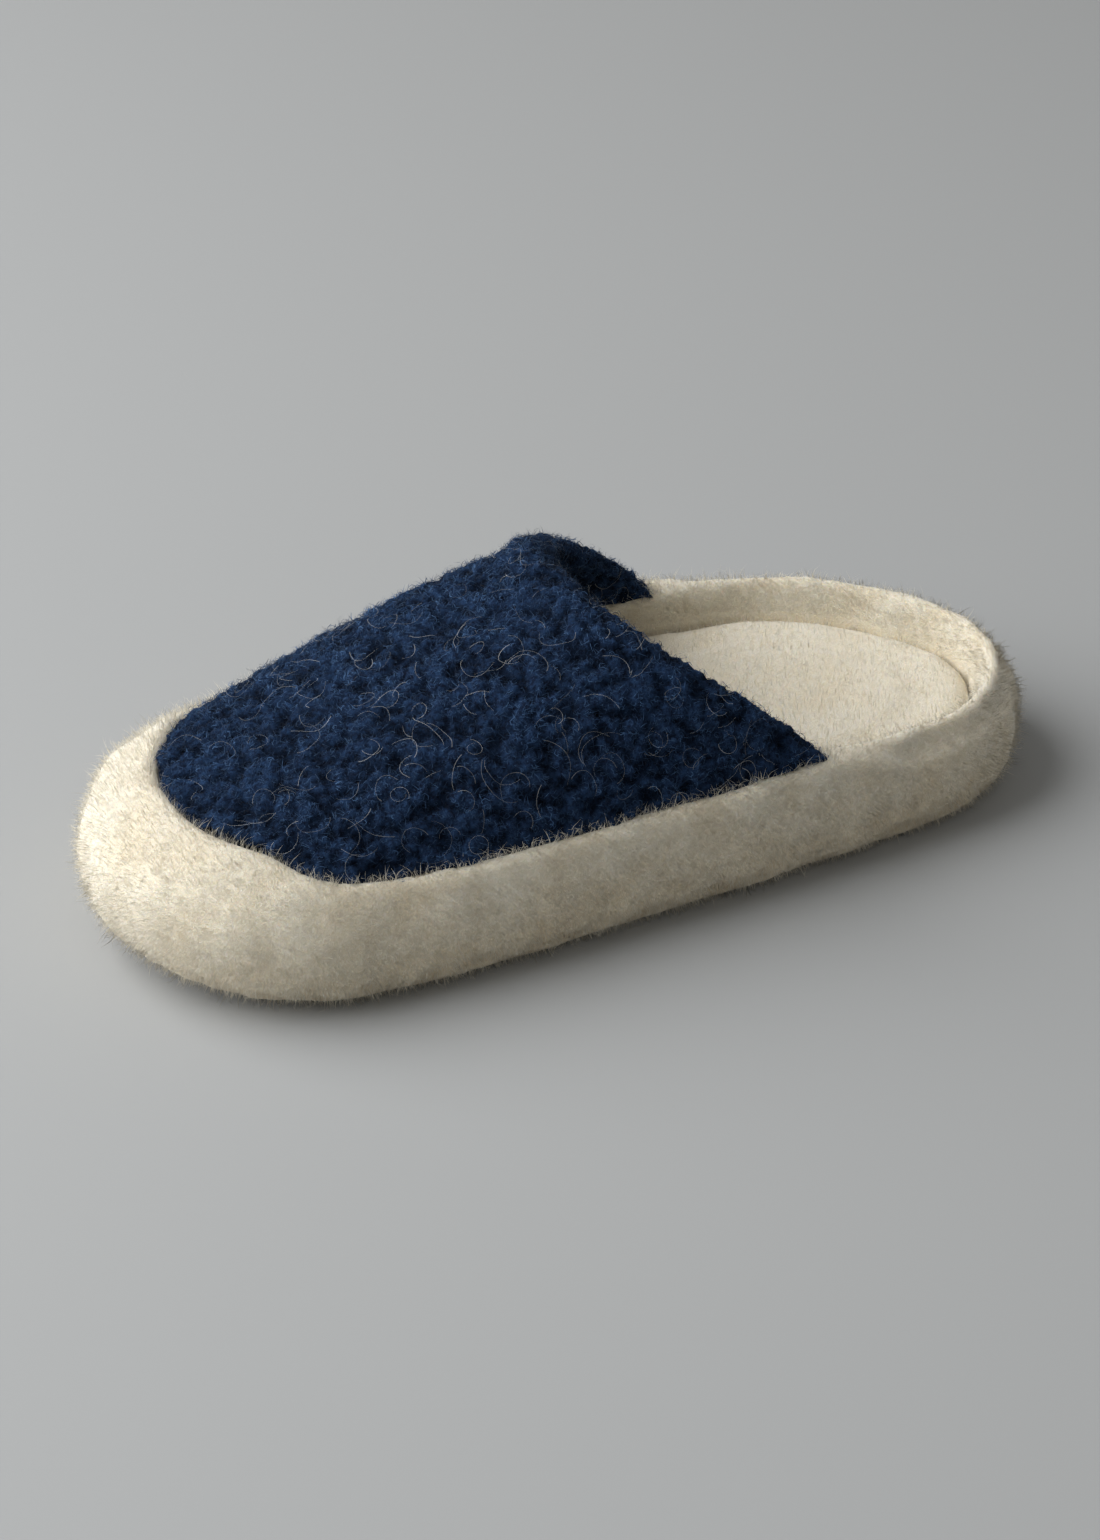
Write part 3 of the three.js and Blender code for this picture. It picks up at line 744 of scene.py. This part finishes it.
def grow_tree(name, shapes, facing=False):
    """A tree that grows fibres on a skin. Shapes are the curves that one fibre may follow.

    Where facing is set, the flat side of each fibre faces away from the skin and takes the light as it does.
    """
    tree = Growth(name, FIBRE_INPUTS)
    density = tree.maths("MULTIPLY", tree.input("Density"), tree.attribute("cover", "FLOAT"))
    points = tree.add(
        "GeometryNodeDistributePointsOnFaces",
        {"distribute_method": "RANDOM"},
        {"Mesh": tree.input("Geometry"), "Density": density, "Seed": tree.input("Seed")},
    )
    normal = points.outputs["Normal"]
    tint = tree.random("FLOAT", 0.0, 1.0, seed=11)
    tinted = tree.add(
        "GeometryNodeStoreNamedAttribute",
        {"data_type": "FLOAT", "domain": "POINT"},
        {"Geometry": points.outputs["Points"], "Name": "tint", "Value": tint},
    )

    # The fibres of a lock lean one way, which drifts over the skin
    place = tree.add("GeometryNodeInputPosition").outputs[0]
    fineness = tree.maths("DIVIDE", 1.0, tree.input("Comb Size"))
    drift = tree.add("ShaderNodeTexNoise", None, {"Vector": place, "Scale": fineness, "Detail": 1.0})
    lean = tree.vector("SUBTRACT", drift.outputs["Color"], (0.5, 0.5, 0.5))
    lean = tree.scaled(lean, tree.maths("MULTIPLY", tree.input("Comb"), COMB_STRENGTH))
    stray = tree.random("FLOAT_VECTOR", (-0.5, -0.5, -0.5), (0.5, 0.5, 0.5), seed=5)
    stray = tree.scaled(stray, tree.input("Stray"))
    sweep = tree.attribute("sweep", "FLOAT_VECTOR")
    way = tree.vector("ADD", tree.vector("ADD", normal, lean), tree.vector("ADD", sweep, stray))

    placed = tree.add(
        "GeometryNodeInstanceOnPoints",
        None,
        {
            "Points": tinted.outputs[0],
            "Instance": fibre_variants(tree, shapes),
            "Pick Instance": True,
            "Instance Index": tree.random("INT", 0, len(shapes) - 1, seed=3),
            "Rotation": fibre_rotation(tree, way, normal, facing),
            "Scale": tree.random("FLOAT", SHORTEST, LONGEST, seed=9),
        },
    )
    real = tree.add("GeometryNodeRealizeInstances", None, {"Geometry": placed.outputs[0]})
    links = {"Geometry": real.outputs[0], "Material": tree.input("Material")}
    clad = tree.add("GeometryNodeSetMaterial", None, links)
    tree.group.links.new(clad.outputs[0], tree.end.inputs[0])
    return tree.group


def wave(bend, reach, height=1.0, steps=2):
    """A fibre that bends over once, in shares of its length."""

    def shape(tree):
        size = tree.input("Length")
        middle = tree.scaled((bend * 0.5, 0.0, 0.66 * height), size)
        end = tree.scaled((reach, 0.0, height), size)
        links = {"Resolution": steps, "Start": (0.0, 0.0, 0.0), "Middle": middle, "End": end}
        return tree.add("GeometryNodeCurveQuadraticBezier", None, links).outputs[0]

    return shape


def curl(turns, radius, height, steps):
    """A fibre that curls round like a spring and opens towards its end, in shares of its length."""

    def shape(tree):
        size = tree.input("Length")
        links = {
            "Resolution": steps,
            "Rotations": turns,
            "Start Radius": tree.maths("MULTIPLY", size, radius * 0.25),
            "End Radius": tree.maths("MULTIPLY", size, radius),
            "Height": tree.maths("MULTIPLY", size, height),
        }
        return tree.add("GeometryNodeCurveSpiral", None, links).outputs[0]

    return shape


def fibre_values(per_cm2, size, width, comb, comb_size, seed, stray=1.0):
    """Values for the inputs of a tree of fibres, with sizes in metres."""
    return {
        "Density": per_cm2 / CM2,
        "Length": size,
        "Width": width,
        "Comb": comb,
        "Comb Size": comb_size,
        "Stray": stray,
        "Seed": seed,
    }


def grow(skin, name, tree, values, material):
    """Grows fibres on a skin mesh and keeps them as one plain mesh that stays above the floor."""
    piece = new_piece(name + "_soil", skin)
    modifier = piece.modifiers.new("fibres", "NODES")
    modifier.node_group = tree
    sockets = {s.name: s.identifier for s in tree.interface.items_tree if s.in_out == "INPUT"}
    for label, value in {**values, "Material": material}.items():
        modifier[sockets[label]] = value
    mesh = evaluated_mesh(piece)
    bpy.data.objects.remove(piece)
    mesh.name = name
    table = vertex_table(mesh)
    table[:, 2] = np.maximum(table[:, 2], FLOOR_GAP)
    set_vertices(mesh, table)
    return keep(name, mesh, material)


# The fleece band and the footbed

BAND_SPACING = 1.35 * MM
FOOTBED_SPACING = 2.2 * MM
# The toe cap's fleece is the smoothest, from here to there along the shoe
BEHIND_TOE = 0.070
ON_TOE = 0.110
# The fleece gets ragged below this height, and most of all from the lower one down
LOW_SIDE = 0.016
LOWEST_SIDE = 0.004


def fleece_materials(look):
    """The fleece's two finishes, made the first time that they are needed."""
    made = bpy.data.materials
    return (
        made.get("cream fleece skin") or fleece_skin_material(look),
        made.get("cream fleece fibres") or fleece_fibre_material(look),
    )


def shape_band(look):
    """The band's skin with its tufts, marked with how its fibres grow, and where it borders the wool."""
    skin = even_skin("fleece_band", "fleece_band_skin", BAND_SPACING, smoothing=7)
    place, out = vertex_table(skin), vertex_table(skin, "normal")
    tufts = clumps(place, look.tuft_size, seed=1.0)
    ragged = 0.25 + 0.45 * smoothstep(ON_TOE, BEHIND_TOE, place[:, 0])
    ragged += 1.4 * smoothstep(LOW_SIDE, LOWEST_SIDE, place[:, 2])
    swell = ragged * (tufts - 0.5)
    swell += 0.75 * soft_noise(place, size=0.014, seed=1.0)
    swell += 0.12 * soft_noise(place, size=0.0040, seed=2.0)
    swell = blurred(skin, swell, times=4)

    # The seam face under the upper keeps its place, and the underside stays on the floor
    shown = openness(place, out)
    on_floor = smoothstep(0.006, 0.0, place[:, 2])
    free = smoothstep(0.0, 0.6, shown) * (1.0 - on_floor)
    at_sheet, to_sheet = near_solid("outsole", place, reach=0.0045)
    at_wool, _ = near_solid("upper", place, reach=0.004)
    beside_wool, _ = near_solid("upper", place, reach=0.010)
    rise = look.swell * swell * (1.0 - 0.5 * beside_wool)
    sink = look.inset * (1.0 - 0.8 * beside_wool)
    place = place + out * ((rise - sink) * free)[:, None]

    # Ragged tufts reach in under the turned-up edge of the sheet
    to_sheet[:, 2] = 0.0
    under = at_sheet * smoothstep(-0.2, -0.6, out[:, 2])
    place = place + to_sheet * (look.overlap * under * tufts)[:, None]
    place[:, 2] = np.maximum(place[:, 2], 0.0)
    set_vertices(skin, place)

    # Fibres grow where the fleece shows, and more thinly underneath but for the tufts at the sheet
    cover = smoothstep(0.0, 0.3, shown) * np.where(out[:, 2] < -0.7, 0.55 + 0.45 * under, 1.0)
    write_attribute(skin, "cover", cover)

    # They lean over the sheet's edge below, up over the wool's edge, and droop along the lower side
    droop = 0.7 * smoothstep(LOW_SIDE, 0.006, place[:, 2]) * (1.0 - under)
    sweep = to_sheet * (1.6 * under)[:, None]
    sweep[:, 2] += 0.9 * at_wool - droop
    write_directions(skin, "sweep", sweep)
    # The crowns also set the painted shade between the tufts
    write_attribute(skin, "crown", np.clip(0.45 + 0.55 * swell, 0.0, 1.0))
    write_soft_normals(skin, times=8)
    return skin, at_wool * smoothstep(0.0, 0.2, shown)


def dress_fleece(context):
    look = context.scene.slipper_fleece
    dense, size, width = look.fibres_per_cm2, look.fibre_length, look.fibre_width
    skin_finish, fibre_finish = fleece_materials(look)
    skin, seam = shape_band(look)
    keep("fleece_band_skin", skin, skin_finish, node="fleece_band")

    shapes = (wave(0.5, 0.4, 0.9), wave(-0.8, 0.3, 0.9), wave(0.3, 0.6, 0.8), wave(-0.4, -0.5, 0.8))
    short = grow_tree("Fleece fibres", shapes, facing=True)
    for number in (1, 2, 3):
        values = fibre_values(dense / 3.0, size, width, comb=0.35, comb_size=0.006, seed=number, stray=1.7)
        grow(skin, f"fleece_band_fibres_{number}", short, values, fibre_finish)

    # A few longer, finer hairs blur the outline
    shapes = (wave(1.0, 0.3, 1.0, 3), wave(-1.2, 0.6, 0.9, 3), wave(0.8, -1.0, 0.8, 3))
    fine = grow_tree("Fleece halo", shapes, facing=True)
    values = fibre_values(dense * 0.25, size * 1.6, width * 0.85, comb=0.8, comb_size=0.012, seed=8)
    grow(skin, "fleece_band_halo", fine, values, fibre_finish)

    # Cream hairs that stand up over the wool's edge all along the seam
    write_attribute(skin, "cover", seam)
    values = fibre_values(dense, size * 1.35, width * 0.9, comb=0.6, comb_size=0.005, seed=9)
    grow(skin, "fleece_band_fringe", fine, values, fibre_finish)


def inflate(mesh, pressure, cap, frames=20):
    """Swells a closed mesh by a short cloth simulation in which no point moves further than the cap."""
    piece = new_piece("inflating", mesh)
    start = vertex_table(mesh)
    cloth = piece.modifiers.new("swell", "CLOTH")
    cloth.settings.use_pressure = True
    cloth.settings.uniform_pressure_force = pressure
    cloth.settings.effector_weights.gravity = 0.0
    cloth.point_cache.frame_end = frames
    for number in range(1, frames + 1):
        bpy.context.scene.frame_set(number)
    swollen = evaluated_mesh(piece)
    bpy.data.objects.remove(piece)
    bpy.context.scene.frame_set(1)
    move = vertex_table(swollen) - start
    far = np.linalg.norm(move, axis=1)
    move *= np.minimum(1.0, cap / np.maximum(far, 1e-9))[:, None]
    set_vertices(swollen, start + move)
    return swollen


def held_inside(node, place, margin):
    """The points with those that left a solid put back under its surface."""
    tree = solid_tree(node)
    kept = place.copy()
    for n, spot in enumerate(place):
        near, normal, _, _ = tree.find_nearest(Vector(spot))
        out = (Vector(spot) - near).dot(normal)
        if out > -margin:
            kept[n] = near - normal * margin
    return kept


def shape_footbed(look):
    """The footbed's padded skin, marked with how its fibres grow."""
    skin = even_skin("insole", "footbed_skin", FOOTBED_SPACING, smoothing=8)
    out = vertex_table(skin, "normal")
    set_vertices(skin, vertex_table(skin) - out * look.pad_inset)
    skin = inflate(skin, look.pad_pressure, look.pad_cap)
    skin.name = "footbed_skin"
    place, out = vertex_table(skin), vertex_table(skin, "normal")
    top = smoothstep(0.4, 0.85, out[:, 2])
    swell = 0.6 * soft_noise(place, size=0.014, seed=4.0) + 0.3 * soft_noise(place, size=0.005, seed=5.0)
    place = place + out * (0.8 * look.swell * swell * top)[:, None]
    place = held_inside("insole", place, margin=0.0001)
    set_vertices(skin, place)

    # The nap is thicker beside the band and leans over the joint
    at_band, to_band = near_solid("fleece_band", place, reach=0.007)
    shown = openness(place, out)
    write_attribute(skin, "cover", top * smoothstep(0.0, 0.4, shown) * (0.7 + 1.3 * at_band))
    write_directions(skin, "sweep", to_band * (1.1 * at_band)[:, None])
    # The crowns also set the painted shade between the lumps
    write_attribute(skin, "crown", np.clip(0.6 + 0.5 * swell, 0.0, 1.0))
    write_soft_normals(skin, times=3)
    return skin


def dress_footbed(context):
    look = context.scene.slipper_fleece
    skin_finish, fibre_finish = fleece_materials(look)
    skin = shape_footbed(look)
    pad = keep("footbed_skin", skin, skin_finish, node="insole")
    shapes = (wave(0.6, 0.5, 0.8), wave(-0.6, -0.6, 0.9), wave(0.7, 0.3), wave(-0.5, -0.8, 0.7))
    nap = grow_tree("Footbed fibres", shapes, facing=True)
    dense, size = look.fibres_per_cm2 * 0.75, look.fibre_length * 0.85
    values = fibre_values(dense, size, look.fibre_width, comb=0.5, comb_size=0.009, seed=4, stray=1.7)
    grow(skin, "footbed_fibres", nap, values, fibre_finish)


# The wool upper

UPPER_SPACING = 1.1 * MM
# Height over the upper's lowest point up to which a face that looks down is its foot, inside the band
FOOT_HEIGHT = 0.012
FOOT_RISE = 0.0004

# Ranges for a stray hair: how sharply it bends, how many steps it has, and its half width and stride in mm
KEMP_BEND = (0.03, 0.15)
KEMP_STEPS = (12, 42)
KEMP_WIDTH = (0.016, 0.038)
KEMP_STRIDE = (0.32, 0.45)
# Its height over the wool's solid and its sway, in mm, and what a step adds to the sway and to the bend
KEMP_HEIGHT = 1.3
KEMP_SWAY = 0.6
KEMP_SWAY_STEP = 0.22
KEMP_TURN = 0.012


def shape_upper(look):
    """The upper's skin with its curled clumps, marked with how its fibres grow."""
    skin = even_skin("upper", "upper_skin", UPPER_SPACING, smoothing=7)
    place, out = vertex_table(skin), vertex_table(skin, "normal")
    low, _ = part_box("upper")
    crown = clumps(place, look.clump_size, seed=7.0)
    swell = 1.1 * (crown - 0.45)
    swell += 0.45 * soft_noise(place, size=0.0085, seed=6.0)
    swell += 0.35 * soft_noise(place, size=0.0021, seed=8.0)
    foot = smoothstep(-0.45, -0.85, out[:, 2]) * (place[:, 2] < low.z + FOOT_HEIGHT)
    move = np.where(foot > 0.0, FOOT_RISE * foot, (look.swell * swell - look.inset) * (1.0 - foot))

    # The wool bulges at the seam and hangs over it with an uneven edge
    seam = near_solid("fleece_band", place, reach=0.0035)[0] * (1.0 - foot)
    place = place + out * (move + 0.7 * look.overhang * seam)[:, None]
    edge = near_solid("fleece_band", place, reach=0.003)[0]
    uneven = 0.5 * soft_noise(place, size=0.0045, seed=9.0) + 0.35 * soft_noise(place, size=0.0022, seed=3.0)
    place[:, 2] += look.overhang * edge * uneven
    place[:, 2] -= look.overhang * seam * crown
    set_vertices(skin, place)

    shown = openness(place, out)
    write_attribute(skin, "cover", smoothstep(0.1, 0.7, shown) * (1.0 - foot) * (0.55 + 0.45 * crown))
    write_directions(skin, "sweep", np.outer(seam, (0.0, 0.0, -1.0)))
    # The crowns also set the painted shade between the clumps and the painted light on them
    write_attribute(skin, "crown", np.clip(0.5 + 0.5 * swell, 0.0, 1.0))
    write_soft_normals(skin, times=1)
    return skin


def dress_upper(context):
    look = context.scene.slipper_wool
    skin = shape_upper(look)
    keep("upper_skin", skin, wool_skin_material(look), node="upper")

    finish = wool_curl_material(look)
    shapes = (curl(1.1, 0.60, 0.55, 6), curl(0.8, 0.80, 0.7, 5), curl(1.4, 0.42, 0.75, 6))
    curls = grow_tree("Wool curls", shapes)
    size, width = look.curl_height, look.curl_width
    values = fibre_values(look.curls_per_cm2, size, width, comb=1.2, comb_size=0.0036, seed=21)
    grow(skin, "upper_curls", curls, values, finish)

    shapes = (wave(0.9, 1.0, 0.55), wave(-0.9, 0.6, 0.7), wave(0.6, 1.2, 0.4), wave(-0.5, -1.1, 0.5))
    fuzz = grow_tree("Wool fuzz", shapes)
    dense, size, width = look.fuzz_per_cm2 / 2.0, look.curl_height * 0.95, look.curl_width * 0.65
    for number in (1, 2):
        values = fibre_values(dense, size, width, comb=1.5, comb_size=0.0030, seed=30 + number)
        grow(skin, f"upper_fuzz_{number}", fuzz, values, finish)
    stray_hairs(look, skin)


def stray_hairs(look, skin):
    """Long pale hairs that wander in arcs over the wool, as narrow ribbons."""
    chance = random.Random(5)
    place = vertex_table(skin)
    cover = np.zeros(len(place))
    skin.attributes["cover"].data.foreach_get("value", cover)
    roots = [n for n in range(len(place)) if cover[n] > 0.8]
    tree = solid_tree("upper")
    points, faces, tints = [], [], []
    for _ in range(look.kemp_hairs):
        spot = Vector(place[chance.choice(roots)])
        heading = Vector([chance.gauss(0, 1) for _ in range(3)]).normalized()
        bend = chance.choice((-1, 1)) * chance.uniform(*KEMP_BEND)
        steps = chance.randint(*KEMP_STEPS)
        width = chance.uniform(*KEMP_WIDTH) * MM
        stride = chance.uniform(*KEMP_STRIDE) * MM
        tint = chance.random()
        first = len(points)
        for step in range(steps):
            near, normal, _, _ = tree.find_nearest(spot)
            heading = (heading - normal * heading.dot(normal)).normalized()
            side = heading.cross(normal).normalized()
            height = KEMP_HEIGHT + KEMP_SWAY * math.sin(step * KEMP_SWAY_STEP + first)
            centre = near + normal * height * MM
            taper = width * (1.0 - 0.6 * step / steps)
            points += [centre - side * taper, centre + side * taper]
            tints += [tint, tint]
            if step:
                n = first + 2 * step
                faces.append((n - 2, n - 1, n + 1, n))
            heading = (heading + side * bend).normalized()
            bend += chance.uniform(-KEMP_TURN, KEMP_TURN)
            spot = near + heading * stride
    mesh = bpy.data.meshes.new("upper_stray_hairs")
    mesh.from_pydata([tuple(p) for p in points], [], faces)
    write_attribute(mesh, "tint", tints)
    keep("upper_stray_hairs", mesh, kemp_material(look))


# The sole

SHEET_SPACING = 1.25 * MM


def dress_sole(context):
    look = context.scene.slipper_sole
    skin = even_skin("outsole", "outsole_sheet", SHEET_SPACING, smoothing=3)
    keep("outsole_sheet", skin, sole_material(look), node="outsole")


# Floor, lights and camera

FLOOR_RADIUS = 6.0
SENSOR_WIDTH = 36.0
# The camera stands high at the toe's inner side and aims a little under the slipper's middle
EYE = Vector((0.4617, 0.9305, 0.6638))
AIM = Vector((0.0, 0.0, -0.022))
# Ways along the floor, to the right in the picture and towards the camera
RIGHT = Vector((0.896, -0.445, 0.0))
NEARER = Vector((0.445, 0.896, 0.0))
KEY_PLACE = RIGHT * 1.25 + Vector((0.0, 0.0, 0.95))
KEY_SIZE = 2.2
KEY_TONE = (1.0, 0.992, 0.975)
FILL_PLACE = NEARER * 1.6 - RIGHT * 0.4 + Vector((0.0, 0.0, 1.2))
FILL_SIZE = 1.6
FILL_TONE = (0.95, 0.98, 1.0)
ROOM_TONE = (1.0, 0.975, 0.92, 1.0)


def aim(piece, place, target):
    piece.location = place
    piece.rotation_mode = "QUATERNION"
    piece.rotation_quaternion = (target - place).to_track_quat("-Z", "Y")


def add_light(name, place, target, size, watts, tone):
    lamp = bpy.data.lights.new(name, "AREA")
    lamp.shape = "DISK"
    lamp.size = size
    lamp.energy = watts
    lamp.color = tone
    aim(new_piece(name, lamp), place, target)


def add_floor(context, look):
    bpy.ops.mesh.primitive_circle_add(vertices=64, radius=FLOOR_RADIUS, fill_type="NGON", location=(0, 0, 0))
    floor = context.active_object
    floor.name = "floor"
    shader = Shader("pale floor")
    shader.finish(Base_Color=tuple(look.floor), Roughness=0.8)
    floor.data.materials.append(shader.material)


def set_stage(context):
    look = context.scene.slipper_stage
    low, high = CAD_BOX
    middle = (low + high) / 2
    add_floor(context, look)

    camera_data = bpy.data.cameras.new("camera")
    camera_data.lens = look.lens
    camera_data.sensor_fit = "AUTO"
    camera_data.sensor_width = SENSOR_WIDTH
    camera = new_piece("camera", camera_data)
    aim(camera, EYE, middle + AIM)
    context.scene.camera = camera

    add_light("key", middle + KEY_PLACE, middle, KEY_SIZE, look.key, KEY_TONE)
    add_light("fill", middle + FILL_PLACE, middle, FILL_SIZE, look.fill, FILL_TONE)

    world = bpy.data.worlds.new("room")
    context.scene.world = world
    world.use_nodes = True
    back = world.node_tree.nodes["Background"]
    back.inputs["Color"].default_value = ROOM_TONE
    back.inputs["Strength"].default_value = look.ambient
    context.scene.view_settings.view_transform = "Standard"


# Operators


class SLIPPER_OT_fleece_band(Operator):
    """Make the cream fleece band and its fibres"""

    bl_idname = "slipper.fleece_band"
    bl_label = "Fleece Band"

    def execute(self, context):
        dress_fleece(context)
        return {"FINISHED"}


class SLIPPER_OT_footbed(Operator):
    """Make the fleece footbed"""

    bl_idname = "slipper.footbed"
    bl_label = "Footbed"

    def execute(self, context):
        dress_footbed(context)
        return {"FINISHED"}


class SLIPPER_OT_upper(Operator):
    """Make the curly wool upper with its stray hairs"""

    bl_idname = "slipper.upper"
    bl_label = "Upper"

    def execute(self, context):
        dress_upper(context)
        return {"FINISHED"}


class SLIPPER_OT_sole(Operator):
    """Make the embossed sole sheet"""

    bl_idname = "slipper.sole"
    bl_label = "Sole"

    def execute(self, context):
        dress_sole(context)
        return {"FINISHED"}


class SLIPPER_OT_stage(Operator):
    """Set the floor, the lights and the camera"""

    bl_idname = "slipper.stage"
    bl_label = "Stage"

    def execute(self, context):
        set_stage(context)
        return {"FINISHED"}


class SLIPPER_PT_sidebar(Panel):
    """Lists the slipper's pieces in the 3D view's sidebar."""

    bl_idname = "SLIPPER_PT_sidebar"
    bl_label = "Wool Slipper"
    bl_space_type = "VIEW_3D"
    bl_region_type = "UI"
    bl_category = "Slipper"

    def draw(self, context):
        layout = self.layout
        for name, operator in STEPS:
            layout.operator(operator)
            if name:
                group = getattr(context.scene, name)
                for key in group.__annotations__:
                    layout.prop(group, key)


# The operators in the order that they run, each below the values that it reads; the footbed shares the band's
STEPS = (
    ("slipper_stage", "slipper.stage"),
    ("slipper_sole", "slipper.sole"),
    ("slipper_fleece", "slipper.fleece_band"),
    ("", "slipper.footbed"),
    ("slipper_wool", "slipper.upper"),
)
GROUPS = {
    "slipper_fleece": SlipperFleece,
    "slipper_wool": SlipperWool,
    "slipper_sole": SlipperSole,
    "slipper_stage": SlipperStage,
}
CLASSES = (
    *GROUPS.values(),
    SLIPPER_OT_fleece_band,
    SLIPPER_OT_footbed,
    SLIPPER_OT_upper,
    SLIPPER_OT_sole,
    SLIPPER_OT_stage,
    SLIPPER_PT_sidebar,
)


def register():
    for kind in CLASSES:
        bpy.utils.register_class(kind)
    for name, kind in GROUPS.items():
        setattr(bpy.types.Scene, name, PointerProperty(type=kind))


def unregister():
    for name in GROUPS:
        delattr(bpy.types.Scene, name)
    for kind in reversed(CLASSES):
        bpy.utils.unregister_class(kind)


def main():
    register()
    for _, operator in STEPS:
        group, name = operator.split(".")
        getattr(getattr(bpy.ops, group), name)()


if __name__ == "__main__":
    main()
